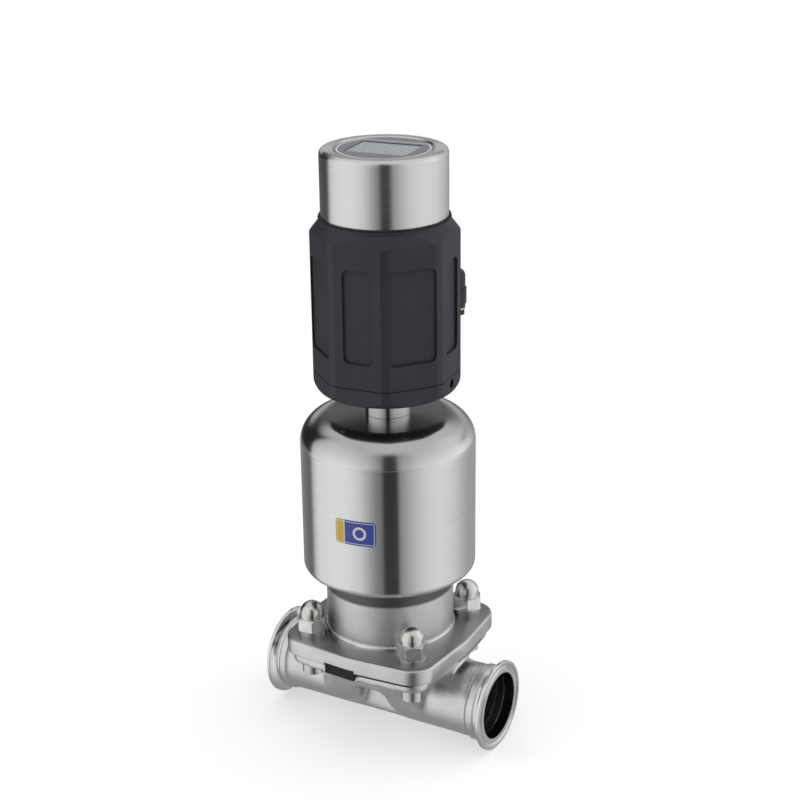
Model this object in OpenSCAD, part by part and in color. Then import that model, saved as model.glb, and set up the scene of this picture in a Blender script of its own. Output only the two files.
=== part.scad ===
// Pneumatic weir diaphragm valve with clamp ferrules, a spring-closed piston actuator
// and a round electro-pneumatic positioner on top. Millimetres, +Z up along the stem,
// +X along the pipe, origin under the stem at the lowest level of the ferrules.

/* [Ferrules and tube] */
// Outside diameter of the clamp ferrules
ferrule_d = 64; // [56:0.5:78]
// Thickness of the ferrule rim at its edge
ferrule_rim_t = 2.9; // [2:0.1:4]
// Length from ferrule face to ferrule face
face_to_face = 175; // [170:1:215]
// Bore at the ferrules
bore_d = 47.5; // [38:0.5:48.5]
// Length of the true bore behind each face
bore_len = 30; // [20:1:34]
// Outside diameter of the cast tube
tube_d = 52; // [51.5:0.5:54]
// Diameter of the weld collar behind each ferrule
weld_collar_d = 54.4; // [54:0.2:57]
// Mean diameter of the gasket groove in the ferrule face
groove_d = 56.2; // [53:0.2:58]
// Radius of the gasket groove
groove_r = 1.6; // [0.8:0.1:2]

/* [Flanges] */
// Bolt spacing along and across the pipe
bolt_pitch = 81; // [80:0.5:97]
// Radius of the bonnet flange round each bolt
flange_corner_r = 18; // [16:0.5:21]
// Radius of the bonnet flange between the bolts
flange_mid_r = 61.5; // [60:0.5:66]
// How far the body flange stays inside the bonnet flange
body_flange_inset = 4; // [2:0.5:5]
// Height of the body flange's top above the pipe axis
body_top = 31; // [29:0.5:38]
// Thickness of the body flange
body_flange_t = 6.5; // [5:0.5:9]
// Thickness of the bonnet flange
bonnet_flange_t = 11; // [8:0.5:15]
// Rounding of the bonnet flange's top edge
flange_edge_r = 2; // [1:0.25:3]

/* [Diaphragm and weir] */
// Thickness of the diaphragm's clamped rim
rim_t = 2.4; // [2:0.1:4]
// Thickness of the diaphragm's dish
dish_t = 4; // [3:0.5:5]
// Height of the weir's crest above the pipe axis
weir_crest = 6; // [4:0.5:9]
// Radius of the chamber under the diaphragm
chamber_r = 37.5; // [35:0.5:39]
// Width of the diaphragm's tab
tab_w = 22; // [15:1:26]
// Height of the diaphragm's tab
tab_h = 6.5; // [4:0.5:8]

/* [Bolting] */
// Thread diameter of the flange bolts
bolt_d = 12; // [10:1:13]
// Width across the flats of the dome nuts
nut_af = 19; // [17:0.5:19.5]
// Height of the hexagon of a dome nut
nut_hex_h = 10; // [8:0.5:14]
// Height of the dome above the hexagon
nut_dome_h = 11.5; // [10:0.5:17]
// Thickness of the lock washers
washer_t = 3.3; // [2:0.1:4]
// Head height of the flange bolts
bolt_head_h = 10; // [9:0.5:15]

/* [Bonnet] */
// Outside diameter of the bonnet neck
neck_d = 90; // [82:0.5:91]
// Height of the neck above the flange
neck_h = 47.6; // [44:1:70]
// Thickness of the wall that closes the neck
neck_top_t = 12.5; // [10:0.5:16]
// Height of the bead at the foot of the neck
bead_h = 3.6; // [2:0.2:6]

/* [Actuator] */
// Outside diameter of the actuator shell
shell_d = 121; // [118:0.5:150]
// Wall of the actuator shell
shell_wall = 2; // [1.5:0.1:3]
// Height of the actuator shell
shell_h = 114.2; // [110:0.5:160]
// Outside rounding of the shell's shoulder
shoulder_r = 20; // [12:0.5:24]
// Outside rounding of the shell's lower edge
lower_edge_r = 5; // [4:0.5:8]
// Lift of the stem from closed to open
stroke = 16; // [10:0.5:20]
// Diameter of the spindle
spindle_d = 18; // [14:0.5:20]
// Thickness of the piston
piston_t = 12; // [10:0.5:16]
// Thickness of the actuator base plate
base_plate_t = 8; // [6:0.5:12]

/* [Springs] */
// Mean radius of the outer spring
outer_spring_r = 41; // [36:0.5:42]
// Wire diameter of the outer spring
outer_wire_d = 7.5; // [5:0.5:8]
// Mean radius of the inner spring
inner_spring_r = 28; // [25:0.5:30]
// Wire diameter of the inner spring
inner_wire_d = 5.5; // [4:0.5:6]
// Turns of each spring
spring_turns = 5; // [3:1:6]

/* [Neck adapter] */
// Diameter of the adapter's collar
collar_d = 30.8; // [28:0.2:40]
// Height of the collar between actuator and positioner
collar_h = 18.3; // [12:0.5:30]
// Diameter of the feedback rod
rod_d = 8; // [6:0.5:9]

/* [Positioner] */
// Diameter over the rounded corners of the housing
housing_d = 100; // [98:0.5:116]
// Depth of each of the eight flats below the round
flat_depth = 2.8; // [1.5:0.1:3.5]
// Height of the base cover
cover_h = 13; // [11:0.5:18]
// Height of the housing above the base cover
housing_h = 106.5; // [100:0.5:130]
// Wall of the housing
housing_wall = 4; // [3.2:0.2:4.4]
// Turn of the positioner on its neck
positioner_turn = 7; // [0:1:45]
// Height of the moulded panels
panel_h = 64; // [40:1:70]
// Depth of the moulded panels
panel_depth = 1.7; // [0.6:0.1:1.8]
// Width of the wide panels
wide_panel_w = 33.5; // [20:0.5:34]
// Width of the narrow panels
narrow_panel_w = 21; // [12:0.5:26]

/* [Cap and display] */
// Diameter of the cap
cap_d = 85; // [80:0.5:88]
// Height of the cap
cap_h = 44.5; // [36:0.5:60]
// Wall of the cap
cap_wall = 2.5; // [2:0.1:3]
// Rounding of the cap's top edge
cap_edge_r = 3.5; // [2:0.25:5]
// Diameter of the window in the cap
window_d = 66; // [58:0.5:70]
// Width of the display panel
lcd_w = 43; // [30:1:48]
// Depth of the display panel
lcd_l = 32; // [20:1:36]
// Thickness of the gasket under the cap
cap_gasket_t = 1.2; // [0.8:0.1:2]
// Turn that frees the cap from its lugs
cap_turn = 30; // [20:1:45]

/* [Air fitting and connector] */
// Outside diameter of the air tube that the fitting takes
air_tube_d = 6; // [4:1:6]
// Height of the fitting's elbow above the housing's foot
elbow_h = 59; // [52:1:72]
// Length of the elbow's downward leg
elbow_leg = 22; // [18:1:26]
// Thread diameter of the signal connector
connector_d = 12; // [8:1:14]

/* [Fits] */
// Radial running clearance of the stem in its guides
run_fit = 0.05; // [0.02:0.01:0.1]
// Gap between parts that move past each other
move_gap = 0.4; // [0.3:0.05:0.6]
// Gap between fixed parts that are slipped together
slip_gap = 0.1; // [0.05:0.05:0.3]

/* [Hidden] */
$fn = 72;
eps = 0.01;
big = 400;
steel = [0.74, 0.74, 0.73];
cast_steel = [0.68, 0.68, 0.67];
black_plastic = [0.12, 0.12, 0.14];
black_rubber = [0.06, 0.06, 0.06];
brass = [0.82, 0.68, 0.38];

// Heights above the pipe axis, stacked from the flange up
axis_z = ferrule_d / 2;
half_len = face_to_face / 2;
body_flange_z = body_top - body_flange_t;
bonnet_z = body_top + rim_t;
bonnet_top = bonnet_z + bonnet_flange_t;
neck_top = bonnet_top + neck_h;
shell_top = neck_top + shell_h;
cover_z = shell_top + collar_h;
housing_z = cover_z + cover_h;
housing_top = housing_z + housing_h;
cap_z = housing_top + cap_gasket_t;
cap_top = cap_z + cap_h;

// Weir arch: a cylinder along the pipe that the closed diaphragm lies in
arch_rise = body_top - 2 - weir_crest;
arch_r = (pow(chamber_r - 1.5, 2) + pow(arch_rise, 2)) / (2 * arch_rise);
arch_z = weir_crest + arch_r;
dish_r = arch_r - 0.3;
dish_in_r = dish_r - dish_t;
weir_half_top = 5;
weir_half_foot = 30;
passage_r = bore_d / 2 - 0.5;

// Bolting
bolt_at = bolt_pitch / 2;
bolt_reach = bolt_at * sqrt(2);
bolt_hole_d = bolt_d + 1.5;
bolt_head_d = bolt_d * 4 / 3;
bolt_spots = [for (x = [-1, 1], y = [-1, 1]) [x * bolt_at, y * bolt_at]];
nut_turns = [0, 0, 37, 0];

// Stem stack
spindle_foot = 36;
pin_d = 4;
pin_z = spindle_foot + 4;
stud_d = 8;
base_plate_z = neck_top + shell_wall;
base_plate_top = base_plate_z + base_plate_t;
base_seal_h = 2.8;
base_seal_z = base_plate_top - 2.8;
screw_head_h = 5;
piston_z = base_plate_top + screw_head_h + 3;
piston_top = piston_z + piston_t;
piston_nut_h = 11;
spindle_tip = piston_top + piston_nut_h + 6;
thread_d = spindle_d - 4;
shell_in_r = shell_d / 2 - shell_wall;
spring_plate_t = 3;
plate_boss_h = 2;
spring_gap = 0.3;
spring_top = shell_top - shell_wall - plate_boss_h - spring_plate_t;
base_screw_r = 32;
base_screw_d = 8;
neck_wall_z = neck_top - neck_top_t;
bush_d = spindle_d + 6;
stem_seal_d = spindle_d + 10;
stem_seal_h = 3;

// Adapter
spigot_d = 20;
adapter_bore_d = rod_d + 1;
lock_nut_t = 8;
top_spigot_d = 24;
cover_floor = 4;
cover_screw_d = 3.2;
cover_head_d = 5.8;
cover_boss_d = 9;
cover_seat = 3;
cover_grip = 10;
cover_seal_t = 0.6;
rod_top = housing_z + 31;
magnet_h = 8;
magnet_d = rod_d + 5;

// Housing
flat_at = housing_d / 2 - flat_depth;
inner_r = flat_at - housing_wall;
lip_r = cap_d / 2 + 1.7;
lip_h = 2.4;
cone_z = housing_top - 9.7;
narrow_edge_z = cone_z + 2.6;
wide_edge_z = cone_z + 1;
panel_z = housing_z + 17.5;
panel_corner = 4.5;
fit_turn = positioner_turn + 45;
connector_turn = positioner_turn + 135;
connector_z = housing_z + 32;

// Cap lugs
cap_in_r = cap_d / 2 - cap_wall;
spigot_r = cap_in_r - 1.6;
lug_span = cap_turn - 6;
lug_h = 2.6;
lug_gap = 0.5;
lug_z = cap_z + 1;
window_ledge_r = window_d / 2 - 2;
window_z = cap_top - 2;
lens_t = 1;
top_plate_z = cap_top - 3.5;
board_t = 1.6;
foam_t = 0.5;

// Elbow fitting
elbow_z = housing_z + elbow_h;
elbow_at = flat_at - panel_depth + 7;
elbow_foot = elbow_z - elbow_leg;
ring_t = 1.5;
sleeve_flange = 2.4;
elbow_stub_d = 8;

// Inside the positioner
block_z = cover_z + cover_floor;
block_h = 36;
block_w = 36;
block_l = 15;
block_y = -36;
valve_at = 9;
board_y = 20;

module lift() translate([0, 0, axis_z]) children();

module turned() rotate([0, 0, positioner_turn]) children();

module ring(d_out, d_in, h) {
    difference() {
        cylinder(d = d_out, h = h);
        translate([0, 0, -1]) cylinder(d = d_in, h = h + 2);
    }
}

module hexagon(af, h) cylinder(d = af / cos(30), h = h, $fn = 6);

module along_x(length) rotate([90, 0, 90]) linear_extrude(length, center = true) children();

// Flange outline: a round plate with a lug round each bolt, joined by tangents
module flange_outline(inset) {
    corner = flange_corner_r - inset;
    middle = flange_mid_r - inset;
    lean = acos((middle - corner) / bolt_reach);
    circle(r = middle);
    for (spot = [45 : 90 : 315]) {
        tip = bolt_reach * [cos(spot), sin(spot)];
        lead = [cos(spot - lean), sin(spot - lean)];
        trail = [cos(spot + lean), sin(spot + lean)];
        polygon([
            [0, 0], middle * lead, tip + corner * lead, tip, tip + corner * trail, middle * trail
        ]);
        translate(tip) circle(r = corner);
    }
}

// Windows in the bonnet's skirt, front and back and on both pipe sides
module skirt_windows(less) {
    front_w = 70;
    side_w = 38;
    reach = 14;
    for (side = [0, 180]) rotate([0, 0, side]) {
        translate([-tab_w + 1.5 + less, -flange_mid_r]) square([front_w - 2 * less, reach]);
        translate([flange_mid_r - reach, -10 + less]) square([reach, side_w - 2 * less]);
    }
}

module bolt_holes(z, h) {
    for (spot = bolt_spots) translate([spot[0], spot[1], z]) cylinder(d = bolt_hole_d, h = h);
}

// Half of the tube with its ferrule, turned about the pipe axis
module tube_half() {
    collar_len = 6;
    neck_len = 5;
    cone_len = 2.6;
    rim_back = half_len - ferrule_rim_t;
    edge = 0.5;
    rotate([0, 90, 0]) rotate_extrude() difference() {
        polygon([
            [0, 0], [tube_d / 2, 0],
            [tube_d / 2, rim_back - neck_len - collar_len],
            [weld_collar_d / 2, rim_back - neck_len - collar_len + 1.2],
            [weld_collar_d / 2, rim_back - neck_len],
            [tube_d / 2 + 0.3, rim_back - neck_len + 0.6],
            [tube_d / 2 + 0.3, rim_back - cone_len],
            [ferrule_d / 2 - edge, rim_back],
            [ferrule_d / 2, rim_back + edge],
            [ferrule_d / 2, half_len - edge],
            [ferrule_d / 2 - edge, half_len],
            [0, half_len]
        ]);
        translate([groove_d / 2, half_len]) circle(r = groove_r);
    }
}

// Cast body: two ferruled tubes, a block under the flange and the weir between them
module valve_body() {
    block_r = bolt_reach - bolt_head_d / 2 - 0.8;
    block_foot = 27.5;
    web = 15;
    notch_top = 9;
    notch_foot = 25.5;
    tab_slot = 0.5;
    color(cast_steel) difference() {
        union() {
            tube_half();
            mirror([1, 0, 0]) tube_half();
            intersection() {
                along_x(2 * block_r) polygon([
                    [-chamber_r - 4, body_top - 2], [chamber_r + 4, body_top - 2],
                    [block_foot, -8], [18, -18], [-18, -18], [-block_foot, -8]
                ]);
                translate([0, 0, -tube_d / 2]) cylinder(r = block_r, h = big);
            }
            translate([0, 0, body_flange_z]) hull() {
                cylinder(r = flange_mid_r - body_flange_inset, h = body_flange_t, $fn = 96);
                for (spot = bolt_spots) translate(spot)
                    cylinder(r = flange_corner_r - body_flange_inset, h = body_flange_t, $fn = 48);
            }
        }
        difference() {
            rotate([0, 90, 0]) cylinder(r = passage_r, h = face_to_face - bore_len, center = true);
            rotate([90, 0, 0]) linear_extrude(2 * tube_d, center = true) polygon([
                [-weir_half_foot, -tube_d], [weir_half_foot, -tube_d],
                [weir_half_top, arch_z], [-weir_half_top, arch_z]
            ]);
        }
        intersection() {
            cylinder(r = chamber_r, h = body_top + 1);
            translate([0, 0, arch_z]) rotate([0, 90, 0])
                cylinder(r = arch_r, h = 3 * chamber_r, center = true);
        }
        for (side = [0, 180]) rotate([0, 0, side]) {
            translate([half_len - bore_len, 0, 0]) rotate([0, 90, 0])
                cylinder(d = bore_d, h = bore_len + 1);
            translate([0, -web, 0]) rotate([90, 0, 0]) linear_extrude(tube_d)
                polygon([
                    [-notch_top, 5], [notch_top, 5], [notch_foot, -tube_d], [-notch_foot, -tube_d]
                ]);
        }
        translate([0, 0, body_flange_z - 1]) bolt_holes(0, body_flange_t + 2);
        translate([-tab_w + 2 - tab_slot, -flange_mid_r, body_top - tab_h + rim_t - tab_slot])
            cube([tab_w + 2 * tab_slot, 9.5, tab_h + 1]);
    }
}

// Moulded diaphragm, drawn closed on the weir, with its clamped rim and tab
module diaphragm() {
    rim_inset = body_flange_inset + 2.4;
    color(black_rubber) union() {
        difference() {
            union() {
                translate([0, 0, body_top]) linear_extrude(rim_t) {
                    flange_outline(rim_inset);
                    intersection() {
                        flange_outline(body_flange_inset + 0.4);
                        skirt_windows(0.3);
                    }
                }
                translate([-tab_w + 2, -flange_mid_r + body_flange_inset, bonnet_z - tab_h])
                    cube([tab_w, 5, tab_h]);
                translate([-tab_w + 2, -flange_mid_r + body_flange_inset, body_top])
                    cube([tab_w, 20, rim_t]);
            }
            translate([0, 0, body_top - 1]) cylinder(r = chamber_r - 2.5, h = rim_t + 2);
            bolt_holes(body_top - 1, rim_t + 2);
        }
        rotate_extrude() intersection() {
            translate([0, arch_z]) difference() {
                circle(r = dish_r);
                circle(r = dish_in_r);
            }
            square([chamber_r + 2, bonnet_z]);
        }
    }
}

// Stud moulded into the diaphragm, hung in the compressor
module diaphragm_stud() {
    foot = arch_z - dish_in_r + move_gap + 0.2;
    color(steel) union() {
        translate([0, 0, foot]) cylinder(d = stud_d, h = spindle_foot - foot - 4);
        translate([0, 0, foot]) cylinder(d = stud_d + 3, h = 2.5);
    }
}

module pin_hole() {
    translate([0, 0, pin_z]) rotate([90, 0, 0]) cylinder(d = pin_d + 2 * slip_gap, h = big, center = true);
}

// Compressor: a domed presser with four fingers that backs the diaphragm
module compressor() {
    press_r = 27;
    slot_len = 10;
    slot_w = 7;
    top = spindle_foot + 8;
    color(cast_steel) difference() {
        union() {
            intersection() {
                translate([0, 0, arch_z]) sphere(r = dish_in_r - move_gap);
                cylinder(r = press_r, h = spindle_foot - 6);
            }
            translate([0, 0, spindle_foot - 12]) cylinder(d = spindle_d + 14, h = 20);
        }
        for (spot = [45 : 90 : 315]) rotate([0, 0, spot])
            translate([press_r - slot_len, -slot_w / 2, 0]) cube([slot_len + 1, slot_w, spindle_foot]);
        translate([0, 0, -1]) cylinder(d = stud_d + 2 * slip_gap, h = top);
        translate([0, 0, -1]) cylinder(d = stud_d + 4, h = arch_z - dish_in_r + 5);
        translate([0, 0, spindle_foot - 0.1]) cylinder(d = spindle_d + 2 * slip_gap, h = top);
        pin_hole();
    }
}

// Cross pin through the compressor and the spindle's foot
module compressor_pin() {
    color(steel) translate([0, 0, pin_z]) rotate([90, 0, 0])
        cylinder(d = pin_d, h = spindle_d + 12, center = true);
}

module at_base_screws() {
    for (spot = [45 : 90 : 315]) rotate([0, 0, spot]) translate([base_screw_r, 0, 0]) children();
}

// Bonnet: rounded flange plate, neck with a bead, and a wall that guides the spindle
module bonnet() {
    skirt = 2;
    skirt_gap = 0.2;
    bead_r = neck_d / 2 + 1.3;
    inner = chamber_r - 4;
    color(cast_steel) difference() {
        union() {
            hull() for (turn = [0, 30, 60, 90]) {
                inset = flange_edge_r * (1 - cos(turn));
                z = bonnet_top - flange_edge_r + flange_edge_r * sin(turn) - eps;
                low = turn == 0 ? bonnet_z : z;
                translate([0, 0, low]) {
                    cylinder(r = flange_mid_r - inset, h = z + eps - low, $fn = 96);
                    for (spot = bolt_spots) translate(spot)
                        cylinder(r = flange_corner_r - inset, h = z + eps - low, $fn = 48);
                }
            }
            translate([0, 0, body_top + skirt_gap]) linear_extrude(rim_t) difference() {
                flange_outline(body_flange_inset);
                flange_outline(body_flange_inset + skirt);
            }
            translate([0, 0, bonnet_top - 1]) cylinder(d = neck_d, h = neck_h + 1);
            translate([0, 0, bonnet_top - 1]) rotate_extrude() {
                square([bead_r - 1, bead_h + 1]);
                square([bead_r, bead_h]);
                translate([bead_r - 1, bead_h]) circle(r = 1);
            }
        }
        translate([0, 0, body_top - 1]) cylinder(r = inner, h = neck_wall_z - body_top + 1);
        translate([0, 0, neck_wall_z - 1]) cylinder(d = bush_d + 2 * slip_gap, h = big);
        translate([0, 0, neck_top - stem_seal_h]) cylinder(d = stem_seal_d, h = big);
        translate([0, 0, body_top]) bolt_holes(0, bonnet_flange_t + rim_t + 1);
        at_base_screws() translate([0, 0, neck_wall_z - 1])
            cylinder(d = base_screw_d + 2 * slip_gap, h = big);
        translate([0, 0, body_top - 1]) linear_extrude(rim_t + 1) skirt_windows(0);
    }
}

// Four cylinder-head bolts, put in from below
module flange_bolts() {
    tip = bonnet_top + washer_t + nut_hex_h + 3;
    key = 10;
    color(steel) for (spot = bolt_spots) translate([spot[0], spot[1], 0]) difference() {
        union() {
            translate([0, 0, body_flange_z - bolt_head_h]) cylinder(d = bolt_head_d, h = bolt_head_h);
            translate([0, 0, body_flange_z - 1]) cylinder(d = bolt_d, h = tip - body_flange_z + 1);
        }
        translate([0, 0, body_flange_z - bolt_head_h - 1]) hexagon(key, 7);
    }
}

// Split lock washers under the dome nuts
module lock_washers() {
    split = 1.2;
    color(steel) for (spot = bolt_spots) translate([spot[0], spot[1], bonnet_top]) difference() {
        ring(bolt_d + 8.4, bolt_d + 0.6, washer_t);
        rotate([0, 0, 200]) translate([0, -split / 2, -1]) cube([bolt_d, split, washer_t + 2]);
    }
}

// Dome nuts: chamfered hexagon with a rounded closed cap
module dome_nuts() {
    dome_r = nut_af / 2 - 1;
    bevel_in = nut_af / 2 - 0.2;
    bevel_out = nut_af / 2 + 1.7;
    bevel_h = 1.1;
    color(steel) for (i = [0 : 3]) translate(concat(bolt_spots[i], bonnet_top + washer_t)) difference() {
        union() {
            intersection() {
                rotate([0, 0, nut_turns[i]]) hexagon(nut_af, nut_hex_h);
                rotate_extrude() polygon([
                    [0, 0], [bevel_in, 0], [bevel_out, bevel_h],
                    [bevel_out, nut_hex_h - bevel_h], [bevel_in, nut_hex_h], [0, nut_hex_h]
                ]);
            }
            translate([0, 0, nut_hex_h - 1]) cylinder(r = dome_r, h = nut_dome_h - dome_r + 1);
            translate([0, 0, nut_hex_h + nut_dome_h - dome_r]) sphere(r = dome_r);
        }
        translate([0, 0, -1]) cylinder(d = bolt_d + 2 * slip_gap, h = nut_hex_h + 5);
    }
}

// Spindle with a shoulder under the piston and a thread above it
module spindle() {
    color(steel) difference() {
        union() {
            translate([0, 0, spindle_foot]) cylinder(d = spindle_d, h = piston_z - spindle_foot);
            translate([0, 0, piston_z - 1]) cylinder(d = thread_d, h = spindle_tip - piston_z + 1);
        }
        pin_hole();
    }
}

// Plain bush that guides the spindle in the bonnet
module guide_bush() {
    color(brass) translate([0, 0, neck_wall_z])
        ring(bush_d, spindle_d + 2 * run_fit, neck_top_t - stem_seal_h);
}

// Stem seal in its recess above the bush
module spindle_seal() {
    color(black_rubber) translate([0, 0, neck_top - stem_seal_h])
        ring(stem_seal_d - 2 * slip_gap, spindle_d + 2 * run_fit, stem_seal_h);
}

// Base plate that closes the shell and sits on the bonnet
module actuator_base() {
    foot_r = shell_in_r - lower_edge_r - 3;
    plate_r = shell_in_r - slip_gap;
    bevel = lower_edge_r - shell_wall;
    color(steel) difference() {
        union() {
            translate([0, 0, base_plate_z]) cylinder(r1 = plate_r - bevel, r2 = plate_r, h = bevel);
            translate([0, 0, base_plate_z + bevel]) cylinder(r = plate_r, h = base_plate_t - bevel);
            translate([0, 0, neck_top]) cylinder(r = foot_r, h = shell_wall + 1);
        }
        translate([0, 0, neck_top - 1]) cylinder(d = spindle_d + 1, h = big);
        translate([0, 0, base_seal_z - base_seal_h / 2 - slip_gap])
            ring(shell_d, 2 * (shell_in_r - 3), base_seal_h + 2 * slip_gap);
        at_base_screws() translate([0, 0, neck_top - 1]) cylinder(d = base_screw_d + 2 * slip_gap, h = big);
    }
}

// Screws that hold the base plate to the bonnet
module base_screws() {
    foot = neck_wall_z + 2;
    color(steel) at_base_screws() difference() {
        union() {
            translate([0, 0, foot]) cylinder(d = base_screw_d, h = base_plate_top - foot + 1);
            translate([0, 0, base_plate_top]) cylinder(d = base_screw_d * 1.6, h = screw_head_h);
        }
        translate([0, 0, base_plate_top + 1]) hexagon(6, screw_head_h);
    }
}

// Ring seal between the base plate and the shell
module base_seal() {
    color(black_rubber) translate([0, 0, base_seal_z - base_seal_h / 2])
        ring(2 * (shell_in_r - slip_gap / 2), 2 * (shell_in_r - 2.9), base_seal_h);
}

// Rounded cup profile of the shell, from its lower lip to the top hole
module cup_profile(out_r, top, foot, top_round, foot_round) {
    square_top = top - top_round;
    translate([0, foot + foot_round]) square([out_r, square_top - foot - foot_round]);
    translate([0, foot]) square([out_r - foot_round, square_top - foot]);
    translate([0, foot + foot_round]) square([out_r - top_round, top - foot - foot_round]);
    translate([out_r - top_round, square_top]) circle(r = top_round);
    translate([out_r - foot_round, foot + foot_round]) circle(r = foot_round);
}

// Deep-drawn actuator shell with its lower edge turned in
module actuator_shell() {
    lip_in = shell_in_r - lower_edge_r - 2.5;
    color(steel) difference() {
        rotate_extrude($fn = 120) intersection() {
            cup_profile(shell_d / 2, shell_top, neck_top, shoulder_r, lower_edge_r);
            square([shell_d, 2 * shell_top]);
        }
        rotate_extrude($fn = 120) intersection() {
            cup_profile(shell_in_r, shell_top - shell_wall, neck_top + shell_wall,
                shoulder_r - shell_wall, lower_edge_r - shell_wall);
            square([shell_d, 2 * shell_top]);
        }
        translate([0, 0, neck_top - 1]) cylinder(r = lip_in, h = shell_wall + 2);
        translate([0, 0, shell_top - 10]) cylinder(d = spigot_d + 2 * slip_gap, h = 20);
    }
}

// Piston with a seal groove and a hollowed underside
module piston() {
    groove = 4;
    hub_d = 44;
    color([0.62, 0.64, 0.66]) difference() {
        translate([0, 0, piston_z]) cylinder(r = shell_in_r - move_gap, h = piston_t);
        translate([0, 0, piston_z - 1]) cylinder(d = thread_d + 2 * slip_gap, h = piston_t + 2);
        translate([0, 0, piston_z + piston_t / 2 - groove / 2])
            ring(shell_d, 2 * (shell_in_r - move_gap - 3.5), groove);
        translate([0, 0, piston_z - 1]) ring(2 * (shell_in_r - 8), hub_d + 22, 4);
    }
}

// Lip seal in the piston's groove
module piston_seal() {
    color(black_rubber) translate([0, 0, piston_z + piston_t / 2 - 1.9])
        ring(2 * (shell_in_r - 0.3), 2 * (shell_in_r - move_gap - 3.4), 3.8);
}

// Nut that clamps the piston to the spindle
module piston_nut() {
    color(steel) translate([0, 0, piston_top]) difference() {
        hexagon(thread_d * 1.57, piston_nut_h);
        translate([0, 0, -1]) cylinder(d = thread_d + 2 * slip_gap, h = piston_nut_h + 2);
    }
}

// Plate under the shell's crown that the springs push on
module spring_plate() {
    plate_r = outer_spring_r + outer_wire_d / 2 + 1.5;
    boss_r = shell_in_r - shoulder_r + shell_wall - 2;
    color(steel) difference() {
        union() {
            translate([0, 0, spring_top]) cylinder(r = plate_r, h = spring_plate_t);
            translate([0, 0, spring_top]) cylinder(r = boss_r, h = spring_plate_t + plate_boss_h);
        }
        translate([0, 0, spring_top - 1]) cylinder(d = spigot_d + 2 * slip_gap, h = 20);
    }
}

// Helical spring from the piston to its plate, as one swept tube with triangular faces
module coil_spring(mean_r, wire_d, hand) {
    sides = 6;
    per_turn = 12;
    steps = spring_turns * per_turn;
    low = piston_top + spring_gap + wire_d / 2;
    rise = spring_top - spring_gap - wire_d / 2 - low;
    points = [
        for (i = [0 : steps], k = [0 : sides - 1])
            let (turn = hand * 360 * i / per_turn, side = 360 * k / sides)
            let (r = mean_r + wire_d / 2 * cos(side), z = low + rise * i / steps)
            [r * cos(turn), r * sin(turn), z + wire_d / 2 * sin(side)]
    ];
    skin = [
        for (i = [0 : steps - 1], k = [0 : sides - 1])
            let (a = i * sides + k, b = i * sides + (k + 1) % sides)
            each [[a, b, b + sides], [a, b + sides, a + sides]]
    ];
    first = [for (k = [1 : sides - 2]) [0, k + 1, k]];
    last = [for (k = [1 : sides - 2]) [steps * sides, steps * sides + k, steps * sides + k + 1]];
    faces = concat(skin, first, last);
    coil_gap = min([
        for (a = [0 : sides - 1], b = [0 : sides - 1]) norm(points[a] - points[per_turn * sides + b])
    ]);
    echo(coil_gap = coil_gap);
    polyhedron(points, hand > 0 ? [for (f = faces) [f[0], f[2], f[1]]] : faces);
}

// Outer closing spring, wound right-handed
module outer_spring() {
    color(steel) coil_spring(outer_spring_r, outer_wire_d, 1);
}

// Inner closing spring, wound the other way so that the coils can't catch
module inner_spring() {
    color(steel) coil_spring(inner_spring_r, inner_wire_d, -1);
}

// Adapter that carries the positioner on the actuator and lets the rod through
module neck_adapter() {
    foot = spring_top - lock_nut_t - 4;
    color(steel) difference() {
        union() {
            translate([0, 0, foot]) cylinder(d = spigot_d, h = shell_top - foot);
            translate([0, 0, shell_top]) rotate_extrude() polygon([
                [0, 0], [collar_d / 2, 0], [collar_d / 2, collar_h - 2.5],
                [collar_d / 2 - 1, collar_h - 1.5], [collar_d / 2 - 1, collar_h], [0, collar_h]
            ]);
            translate([0, 0, cover_z]) cylinder(d = top_spigot_d, h = cover_floor + lock_nut_t + 1);
        }
        translate([0, 0, foot - 1]) cylinder(d = adapter_bore_d, h = big);
    }
}

// Lock nut of the adapter inside the actuator
module adapter_nut() {
    color(steel) translate([0, 0, spring_top - lock_nut_t]) difference() {
        hexagon(30, lock_nut_t);
        translate([0, 0, -1]) cylinder(d = spigot_d + 2 * slip_gap, h = lock_nut_t + 2);
    }
}

// Rod that carries the stem's travel up to the sensor
module feedback_rod() {
    color(steel) translate([0, 0, spindle_tip]) cylinder(d = rod_d, h = rod_top - spindle_tip);
}

// Magnet ring on the tip of the rod
module sensor_magnet() {
    color([0.3, 0.3, 0.32]) translate([0, 0, rod_top - magnet_h])
        ring(magnet_d, rod_d + 2 * slip_gap, magnet_h);
}

// Square column with a sloping shoulder, which trims four flats on the round housing
module flat_sides(turn, edge) {
    shoulder = housing_top - lip_h;
    column_r = flat_at * sqrt(2);
    neck_r = (lip_r + 0.4) * sqrt(2);
    rotate([0, 0, turn + 45]) {
        translate([0, 0, cover_z]) cylinder(r = column_r, h = edge - cover_z, $fn = 4);
        translate([0, 0, edge]) cylinder(r1 = column_r, r2 = neck_r, h = shoulder - edge, $fn = 4);
        translate([0, 0, shoulder]) cylinder(r = neck_r, h = lip_h, $fn = 4);
    }
}

module at_cover_screws() {
    for (spot = [45 : 90 : 315]) rotate([0, 0, spot]) translate([inner_r - 3.5, 0, 0]) children();
}

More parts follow.
